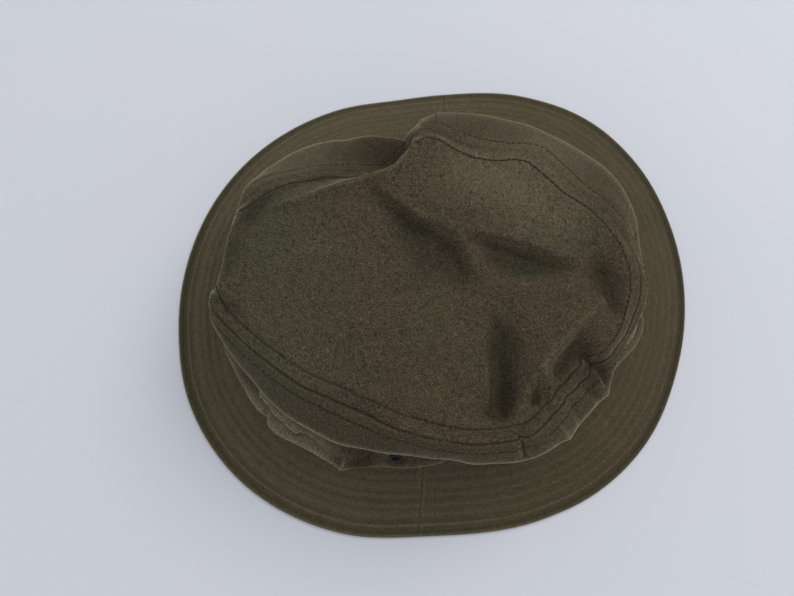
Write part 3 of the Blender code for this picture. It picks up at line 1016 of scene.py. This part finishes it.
def build_tapes(points, seam_row, tape):
    """Tape over the allowances, just inside the tip seam and the two side seams."""
    lining = points - normals(points) * TAPE_DEPTH
    from_seam = distance_along(points, seam_row)[:, 0]
    rows = [row for row in range(len(points)) if abs(from_seam[row]) < TAPE_HALF][::2]
    ring_tape = lining[rows][:, ::2]
    column = np.broadcast_to(np.arange(ring_tape.shape[1]), ring_tape.shape[:2])
    weave = np.stack([column, ring_tape[..., 2], 0 * column], -1)
    piece = cloth_mesh("tip_seam_bias_tape", Sheet(ring_tape, True, weave), tape, TAPE_PLY, 1)
    stand_for(piece, "tape", "tip_seam_tape")
    rows = [*range(4, seam_row - SEAM_ROWS // 2, 3)]
    for side, middle in (("right", 0), ("left", AROUND // 2)):
        near = [(middle + step) % AROUND for step in range(-14, 15, 2)]
        sheet = Sheet(lining[rows][:, near])
        piece = cloth_mesh(f"side_seam_bias_tape_{side}", sheet, tape, TAPE_PLY, 1)
        stand_for(piece, "tape", f"side_seam_tape_{side}")


def build_sweatband(points, tape, thread):
    """An upright band just inside the head seam, which follows the wall where that folds in."""
    angles = hat_angles(AROUND)[::2]
    heights = np.linspace(BAND_LOW, BAND_HIGH, 29)
    wall = points[: SEAM_ROWS + WALL_ROWS, ::2]
    low_part = wall[: WALL_ROWS - 4]
    radius = np.hypot(low_part[..., 0], low_part[..., 1])
    free = head_oval(angles) - 2.0
    band = np.empty((len(heights), len(angles)))
    for column in range(len(angles)):
        z, r = low_part[:, column, 2], radius[:, column]
        order = np.argsort(z)
        band[:, column] = np.interp(heights, z[order], r[order]) - 2.2
    band = np.minimum(band, free)
    for _ in range(6):
        band = np.minimum(band, (np.roll(band, 1, 1) + np.roll(band, -1, 1) + 2 * band) / 4)
    arc = np.mod(angles, 2 * np.pi) * BAND_MEAN
    lean = smooth((heights[:, None] - BAND_LOW) / 30)
    wave = noise(arc, 0 * arc, 19, 41, 2 * np.pi * BAND_MEAN)
    band = band - lean * (0.6 + 0.5 * wave)[None, :]
    sheet = polar(angles[None, :], band, heights[:, None])
    weave = np.stack([arc + 0 * band, sheet[..., 2], 0 * band], -1)
    piece = cloth_mesh("sweatband_cloth", Sheet(sheet, True, weave), tape, BAND_PLY, 2)
    stand_for(piece, "tape", "sweatband")
    path = sheet[2] - polar(angles, np.full(len(angles), 0.45), np.zeros(len(angles)))
    piece = stitch_mesh("sweatband_stitches", path, -normals(sheet)[2], thread, 42)
    stand_for(piece, "thread", "sweatband_stitch")


def build_label(cloth, thread):
    """The blank label: a small woven ribbon with turned ends, hung from its top edge."""
    low, high = corners("size_label")
    across = np.linspace(low[1], high[1], 27)
    down = np.linspace(high[2], low[2], 19)
    y, z = np.meshgrid(across, down)
    drop = (high[2] - z) / (high[2] - low[2])
    x = (low[0] + high[0]) / 2 + 0.9 * drop**2 + 0.15 * np.cos(y * 0.9) * drop
    x = x + 0.18 * (np.abs(y) > high[1] - 2.2)
    sheet = np.stack([x, y, z], -1)
    weave = np.stack([y, z, 0 * y], -1)
    piece = cloth_mesh("size_label_ribbon", Sheet(sheet, weave=weave), cloth, 0.3, 1)
    stand_for(piece, "label", "size_label", body="label")
    seam_y = np.linspace(low[1] + 2, high[1] - 2, 40)
    seam = np.array([(x[0, 0] + 0.2, place, high[2] + 1.0) for place in seam_y])
    facing = np.tile([1.0, 0, 0], (len(seam), 1))
    piece = stitch_mesh("label_stitches", seam, facing, thread, 43, closed=False, pitch=2.8)
    stand_for(piece, "thread", "label_stitch")


# ---- the brim


def brim_shape(angles, d):
    """Radius, middle height, half thickness and true distance in from the edge, over (row, angle)."""
    head, edge = head_oval(angles), ring(BRIM_EDGE, angles)
    plan = edge - head
    width = np.hypot(plan, HEAD_SEAM)
    extra = (width - BRIM_WIDTH)[None, :] * smooth((d / BRIM_WIDTH - 0.86) / 0.14)[:, None]
    inset = d[:, None] + extra
    share = inset / width[None, :]
    arc = np.broadcast_to(np.mod(angles, 2 * np.pi)[None, :] * BRIM_MEAN, inset.shape)
    whole = 2 * np.pi * BRIM_MEAN
    radius = edge[None, :] - plan[None, :] * share
    middle = BRIM_THICK / 2 + HEAD_SEAM * np.maximum(share - 0.06, 0) / 0.94
    wave = noise(arc, inset / 3, 46, 51, whole) + 0.4 * noise(arc, inset / 2, 19, 52, whole)
    middle = middle + 0.9 * (wave + 1.0) * np.sin(np.pi * np.clip(share, 0, 1)) ** 1.2
    row = (inset - FIRST_ROW) / ROW_PITCH
    last_row = FIRST_ROW + ROW_PITCH * (ROWS - 1)
    quilted = smooth((inset - FIRST_ROW + 1.2) / 1.2) * smooth((last_row + 1.2 - inset) / 1.2)
    pulse = 1 - 0.15 * np.cos(2 * np.pi * arc / STITCH_PITCH)
    groove = bump((row - np.rint(row)) * ROW_PITCH, 0.95, 1.6) * quilted * pulse
    groove = groove * (0.9 + 0.3 * bump(row, 0.5))
    border = np.sin(np.pi * np.clip(inset / FIRST_ROW, 0, 1)) ** 0.7
    pucker = noise(arc, inset / 1.6, 4.2, 53, whole) * (1 - groove)
    half = BRIM_THICK / 2 + 0.14 * border - 0.30 * groove + 0.08 * pucker
    beside = np.abs(radius * np.cos(angles)[None, :])
    half = half + 0.08 * (1 - smooth((beside - 6) / 1.6)) - 0.25 * bump(beside, 0.7)
    rim = np.clip(inset / (BRIM_THICK / 2), 0, 1)
    return radius, middle, half * np.sqrt(1 - (1 - rim) ** 2), inset


def brim_distances():
    """Distances in from the edge, closest together where the rim turns over."""
    turn = BRIM_THICK / 2 * (1 - np.cos(np.linspace(0, np.pi / 2, 9)))
    return np.concatenate([turn, np.linspace(turn[-1], BRIM_WIDTH, BRIM_ROWS)[1:]])


def build_brim(cloth, canvas, thread):
    """Two plies, the stiffener between them and eight stitch rows."""
    angles = hat_angles(AROUND)
    d = brim_distances()
    radius, middle, half, inset = brim_shape(angles, d)
    upper = polar(angles[None, :], radius, middle + half)
    lower = polar(angles[None, :], radius, np.maximum(middle - half, 0))
    core = polar(angles[None, :], radius, middle + 0.2)[12::4, ::4]
    wear_and_painted_light = wear_highlight_and_shade_of(upper, 1.2)
    row = (inset - FIRST_ROW) / ROW_PITCH
    beside = (row - np.clip(np.rint(row), 0, ROWS - 1)) * ROW_PITCH
    # Paler at the turned edge, partly rubbed and partly a painted highlight; painted highlights along the
    # stitch rows; painted shade just inside the first row; a darker border band at the left and right;
    # each quilted band a little lighter or darker than the next.
    rim = 0.3 * bump(inset, 0.9) + 0.60 * bump(beside, 0.8) - 0.25 * bump(inset - FIRST_ROW - 0.8, 1.2)
    border = smooth(inset / 1.5) * smooth((FIRST_ROW - 0.6 - inset) / 1.2)
    rim = rim - 0.5 * border * np.cos(angles)[None, :] ** 2
    band = 0.10 * np.sin(1.9 * np.round(row)) * (1 - bump(beside, 1.5))
    # Painted light, paler towards the hat's back and its left side.
    painted_light_back_and_left = 0.22 * smooth(0.5 - upper[..., 0] / 180) + 0.10 * smooth(upper[..., 1] / 120)
    whole = Sheet(upper, True, upper, wear_and_painted_light + rim + band + painted_light_back_and_left)
    for side, columns in halves(AROUND).items():
        over = whole.part(slice(None), columns)
        piece = cloth_mesh(f"brim_upper_cloth_{side}", over, cloth, BRIM_PLY)
        stand_for(piece, "cotton", f"brim_upper_{side}")
        under = Sheet(lower[::-2][:, columns[::2]])
        piece = cloth_mesh(f"brim_lower_cloth_{side}", under, cloth, BRIM_PLY, 2)
        stand_for(piece, "cotton", f"brim_lower_{side}")
    for side, columns in halves(AROUND // 4).items():
        between = Sheet(core[:, columns[1:-1]])
        piece = cloth_mesh(f"brim_stiffener_canvas_{side}", between, canvas, BRIM_PLY, 1)
        stand_for(piece, "canvas", f"brim_stiffener_{side}")
    up = normals(upper)
    for row in range(ROWS):
        target = FIRST_ROW + ROW_PITCH * row
        path, normal = row_at(upper, inset, target), row_at(up, inset, target)
        piece = stitch_mesh(f"brim_stitches_{row + 1}", path, normal, thread, 60 + row)
        stand_for(piece, "thread", f"brim_stitch_{row + 1}")


# ---- materials


def add_node(tree, kind, inputs=(), **settings):
    """A shader node, its inputs set or linked."""
    node = tree.nodes.new(kind)
    for key, value in settings.items():
        setattr(node, key, value)
    for key, value in dict(inputs).items():
        if isinstance(value, bpy.types.NodeSocket):
            tree.links.new(value, node.inputs[key])
        else:
            node.inputs[key].default_value = value
    return node


def new_material(name):
    """A material, its node tree and its shader."""
    material = bpy.data.materials.new(name)
    material.use_nodes = True
    tree = material.node_tree
    return material, tree, tree.nodes["Principled BSDF"]


def mix(tree, factor, a, b, blend="MIX"):
    """One colour blended into another."""
    inputs = {0: factor, 6: a, 7: b}
    node = add_node(tree, "ShaderNodeMix", inputs, data_type="RGBA", blend_type=blend)
    return node.outputs[2]


def remap(tree, value, low, high, to_low=0.0, to_high=1.0):
    """A value's range from low to high, stretched to another range."""
    ranges = {"Value": value, 1: low, 2: high, 3: to_low, 4: to_high}
    return add_node(tree, "ShaderNodeMapRange", ranges).outputs[0]


def math_node(tree, operation, a, b):
    """The result of a sum on two values."""
    return add_node(tree, "ShaderNodeMath", {0: a, 1: b}, operation=operation).outputs[0]


def weighted(tree, *pairs):
    """The sum of values times their shares."""
    total = 0.0
    for value, share in pairs:
        total = math_node(tree, "ADD", math_node(tree, "MULTIPLY", value, share), total)
    return total


def texture_noise(tree, place, scale, detail=3.0, roughness=0.55):
    """Soft noise round 0.5."""
    inputs = {"Vector": place, "Scale": scale, "Detail": detail, "Roughness": roughness}
    return add_node(tree, "ShaderNodeTexNoise", inputs).outputs[0]


class Twill:
    """A twill's looks: three dye tones, how pale it rubs and how pale its painted light is, how strongly
    its grain shows.
    """

    def __init__(self, tones, worn, lint, grain=1.0, wale=0.75, sheen=0.85):
        self.tones, self.worn, self.lint = tones, worn, lint
        self.grain, self.wale, self.sheen = grain, wale, sheen


def twill_material(name, look):
    """Woven cotton: wales and yarns, tinted by rubbing, dirt and green dye, and by painted light and
    shade.
    """
    material, tree, shader = new_material(name)
    place = add_node(tree, "ShaderNodeAttribute", attribute_name="weave").outputs["Vector"]
    wear_and_painted_light = add_node(tree, "ShaderNodeAttribute", attribute_name="wear_and_painted_light").outputs["Fac"]
    green = add_node(tree, "ShaderNodeAttribute", attribute_name="green").outputs["Fac"]
    turn = {"Vector": place, "Rotation": (0, 0, WALE_TURN)}
    turned_place = add_node(tree, "ShaderNodeMapping", turn).outputs[0]
    bands = {"Vector": turned_place, "Scale": math.pi / 10 / look.wale, "Distortion": 2.2}
    bands |= {"Detail": 2.0, "Detail Scale": 1.4}
    wales = add_node(tree, "ShaderNodeTexWave", bands).outputs["Fac"]
    stretch = {"Vector": turned_place, "Scale": (1.3, 0.75, 1)}
    stretched = add_node(tree, "ShaderNodeMapping", stretch).outputs[0]
    yarn = remap(tree, texture_noise(tree, stretched, 1.5, 2.0, 0.7), 0.32, 0.68)
    fleck = remap(tree, texture_noise(tree, place, 1.6, 1.0, 0.6), 0.57, 0.68)
    clump = remap(tree, texture_noise(tree, place, 0.42, 2.0, 0.6), 0.35, 0.65)
    mottle = remap(tree, texture_noise(tree, place, 0.034, 4.0, 0.6), 0.36, 0.64)
    patch = remap(tree, texture_noise(tree, place, 0.011, 2.0), 0.38, 0.62)
    colour = mix(tree, mottle, (*look.tones[0], 1), (*look.tones[1], 1))
    colour = mix(tree, math_node(tree, "MULTIPLY", patch, 0.55), colour, (*look.tones[2], 1))
    colour = mix(tree, math_node(tree, "MULTIPLY", green, 0.75), colour, (*GREEN_DYE, 1))
    # Pale where rubbed and where painted light falls, dark where dirty and in painted shade.
    rubbed = remap(tree, wear_and_painted_light, 0.12, 1.3)
    soiled_and_shaded = remap(tree, wear_and_painted_light, -0.10, -0.9, 0.0, 0.6)
    colour = mix(tree, rubbed, colour, (*look.worn, 1))
    colour = mix(tree, soiled_and_shaded, colour, (*SOIL_AND_SHADE, 1))
    weave = weighted(tree, (wales, 0.20), (yarn, 0.65), (clump, 0.15))
    tint = remap(tree, weave, 0.15, 0.85, 1 - 0.75 * look.grain, 1 + 1.0 * look.grain)
    colour = mix(tree, 1.0, colour, tint, "MULTIPLY")
    clean = remap(tree, soiled_and_shaded, 0.0, 0.6, 0.8 * look.grain, 0.25 * look.grain)
    colour = mix(tree, math_node(tree, "MULTIPLY", fleck, clean), colour, (*look.lint, 1))
    tree.links.new(colour, shader.inputs["Base Color"])
    shader.inputs["Roughness"].default_value = 0.92
    shader.inputs["Specular IOR Level"].default_value = 0.08
    fuzz = remap(tree, weave, 0.15, 0.85, 0.45 * look.sheen, 1.4 * look.sheen)
    tree.links.new(fuzz, shader.inputs["Sheen Weight"])
    shader.inputs["Sheen Roughness"].default_value = 0.2
    shader.inputs["Sheen Tint"].default_value = (0.82, 0.72, 0.46, 1)
    rough = {"Height": weave, "Strength": 0.7, "Distance": 0.00025}
    tree.links.new(add_node(tree, "ShaderNodeBump", rough).outputs[0], shader.inputs["Normal"])
    return material


def thread_material(name, colour, sheen=0.0):
    """Dyed thread, uneven in tone."""
    material, tree, shader = new_material(name)
    place = add_node(tree, "ShaderNodeTexCoord").outputs["Object"]
    shade = remap(tree, texture_noise(tree, place, 900.0, 2.0), 0.3, 0.7, 0.6, 1.3)
    tree.links.new(mix(tree, 1.0, (*colour, 1), shade, "MULTIPLY"), shader.inputs["Base Color"])
    shader.inputs["Roughness"].default_value = 0.75
    shader.inputs["Specular IOR Level"].default_value = 0.2
    shader.inputs["Sheen Weight"].default_value = sheen
    return material


def painted_metal():
    """Dull green-black paint, rubbed through to dark metal in small flecks."""
    material, tree, shader = new_material("eyelet_paint")
    place = add_node(tree, "ShaderNodeTexCoord").outputs["Object"]
    chipped = remap(tree, texture_noise(tree, place, 1400.0, 4.0), 0.58, 0.66)
    colour = mix(tree, chipped, (0.008, 0.009, 0.009, 1), (0.035, 0.035, 0.032, 1))
    tree.links.new(colour, shader.inputs["Base Color"])
    tree.links.new(remap(tree, chipped, 0, 1, 0.0, 0.5), shader.inputs["Metallic"])
    shader.inputs["Roughness"].default_value = 0.6
    shader.inputs["Specular IOR Level"].default_value = 0.2
    return material


# ---- stage, light and camera


def build_stage():
    """A plain pale floor, a soft sky and one large soft light."""
    half = 3000
    square = [(-half, -half, 0), (half, -half, 0), (half, half, 0), (-half, half, 0)]
    floor = add_mesh("floor", square, [(0, 1, 2, 3)])
    material, tree, shader = new_material("floor_paint")
    place = add_node(tree, "ShaderNodeTexCoord").outputs["Object"]
    cloud = texture_noise(tree, place, 6.0, 2.0)
    tone = mix(tree, cloud, (0.655, 0.685, 0.755, 1), (0.695, 0.70, 0.755, 1))
    tree.links.new(tone, shader.inputs["Base Color"])
    shader.inputs["Roughness"].default_value = 0.85
    floor.data.materials.append(material)
    world = bpy.data.worlds.new("studio")
    bpy.context.scene.world = world
    world.use_nodes = True
    world.node_tree.nodes["Background"].inputs["Color"].default_value = (0.93, 0.96, 1.0, 1)
    world.node_tree.nodes["Background"].inputs["Strength"].default_value = 0.68
    add_area("window", (1.05, 1.15, 1.6), 1.5, 21.0, (1.0, 0.97, 0.93))
    bpy.context.scene.view_settings.view_transform = "Standard"


def add_area(name, place, size, power, colour):
    """A round area light that faces the hat."""
    light = bpy.data.lights.new(name, "AREA")
    light.shape = "DISK"
    light.size = size
    light.energy = power
    light.color = colour
    obj = bpy.data.objects.new(name, light)
    bpy.context.scene.collection.objects.link(obj)
    obj.location = place
    obj.rotation_euler = Vector(place).to_track_quat("Z", "Y").to_euler()


def build_camera():
    """High over the hat, a little in front of it."""
    level = math.cos(CAMERA_ELEVATION)
    aside, back = math.sin(CAMERA_AZIMUTH) * level, -math.cos(CAMERA_AZIMUTH) * level
    away = Vector((aside, back, math.sin(CAMERA_ELEVATION)))
    data = bpy.data.cameras.new("camera")
    data.sensor_width = 36
    data.lens = CAMERA_LENS
    data.clip_start = 0.01
    data.dof.use_dof = True
    data.dof.focus_distance = CAMERA_DISTANCE - 68 * MM
    data.dof.aperture_fstop = 14.0
    camera = bpy.data.objects.new("camera", data)
    bpy.context.scene.collection.objects.link(camera)
    camera.location = CAMERA_AIM + away * CAMERA_DISTANCE
    camera.rotation_euler = away.to_track_quat("Z", "Y").to_euler()
    bpy.context.scene.camera = camera


# ---- the hat

CROWN_TWILL = Twill(
    tones=((0.054, 0.039, 0.022), (0.046, 0.036, 0.020), (0.057, 0.040, 0.024)),
    worn=(0.154, 0.130, 0.084),
    lint=(0.122, 0.113, 0.092),
)
BRIM_TWILL = Twill(
    tones=((0.066, 0.052, 0.028), (0.055, 0.047, 0.025), (0.070, 0.053, 0.031)),
    worn=(0.150, 0.128, 0.080),
    lint=(0.120, 0.110, 0.085),
    grain=0.5,
    sheen=0.5,
)
TAPE_TWILL = Twill(
    tones=((0.075, 0.068, 0.042), (0.066, 0.062, 0.040), (0.080, 0.070, 0.045)),
    worn=(0.15, 0.14, 0.10),
    lint=(0.15, 0.14, 0.12),
    grain=0.5,
    wale=0.5,
)
CANVAS_TWILL = Twill(
    tones=((0.30, 0.28, 0.22), (0.27, 0.25, 0.20), (0.31, 0.28, 0.22)),
    worn=(0.40, 0.38, 0.32),
    lint=(0.45, 0.44, 0.40),
    grain=0.5,
    wale=0.6,
)
LABEL_TWILL = Twill(
    tones=((0.52, 0.50, 0.43), (0.47, 0.46, 0.40), (0.55, 0.52, 0.44)),
    worn=(0.65, 0.63, 0.56),
    lint=(0.70, 0.69, 0.64),
    grain=0.25,
    wale=0.35,
)


def main():
    build_stage()
    build_camera()
    crown_thread = thread_material("crown_thread", (0.016, 0.015, 0.009))
    olive_thread = thread_material("olive_thread", (0.062, 0.050, 0.029))
    brim_thread = thread_material("brim_thread", (0.100, 0.084, 0.050), 0.2)
    tape = twill_material("olive_tape", TAPE_TWILL)
    brim_cotton = twill_material("brim_cotton", BRIM_TWILL)
    build_brim(brim_cotton, twill_material("canvas", CANVAS_TWILL), brim_thread)
    crown_cotton = twill_material("crown_cotton", CROWN_TWILL)
    points, seam_row, seats = build_crown(crown_cotton, crown_thread, olive_thread)
    build_eyelets(seats, painted_metal())
    build_tapes(points, seam_row, tape)
    build_sweatband(points, tape, crown_thread)
    build_label(twill_material("label_ribbon", LABEL_TWILL), crown_thread)


main()
